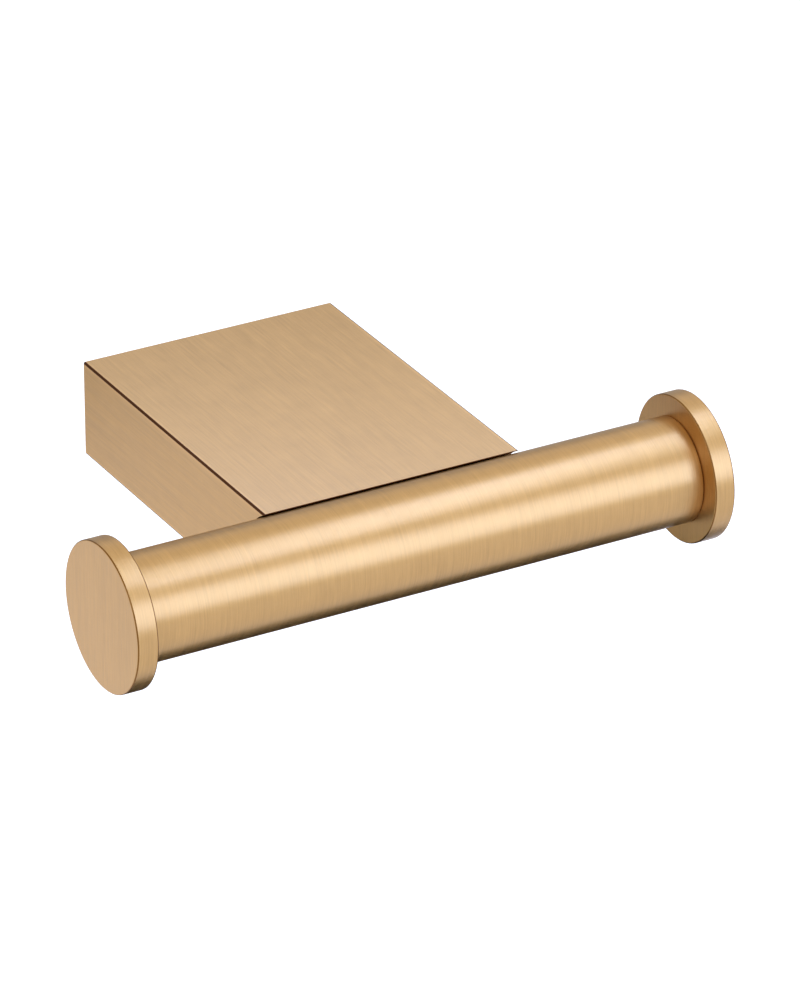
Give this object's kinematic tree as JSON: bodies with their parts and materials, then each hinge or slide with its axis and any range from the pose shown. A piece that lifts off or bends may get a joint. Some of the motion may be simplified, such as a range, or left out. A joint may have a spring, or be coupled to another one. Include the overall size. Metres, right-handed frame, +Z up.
{
  "type": "double robe hook",
  "caption": "Wall-mounted robe hook: a round bar with a flat disc on each end, carried at its middle on a rectangular block arm over a concealed wall bracket.",
  "frame": {"origin": "middle of the wall face: the centre of the arm's open back rim, on the back of the wall pad", "axes": "+X along the bar, to the right as seen from the room; +Y into the wall; +Z up"},
  "size_m": [0.1212, 0.0886, 0.028],
  "materials": {
    "bronze_finish": "brushed light bronze, satin",
    "inner_brass": "machined, unplated",
    "fixing_steel": "stainless, satin",
    "bracket_metal": "milled",
    "black_rubber": "matt"
  },
  "bodies": {
    "root": {"wall_pad": "black_rubber", "wall_bracket": "bracket_metal", "grub_screw_left": "fixing_steel", "grub_screw_right": "fixing_steel", "arm_housing": "bronze_finish", "saddle_block": "inner_brass", "bar_screw_left": "fixing_steel", "bar_screw_right": "fixing_steel", "screw_washer_left": "fixing_steel", "screw_washer_right": "fixing_steel", "bar_tube": "bronze_finish", "saddle_nut": "fixing_steel", "end_disc_left": "bronze_finish", "end_disc_right": "bronze_finish", "spigot_ring_left": "black_rubber", "spigot_ring_right": "black_rubber", "end_plug_left": "inner_brass", "end_plug_right": "inner_brass", "disc_stud_left": "fixing_steel", "disc_stud_right": "fixing_steel"}
  },
  "joints": []
}
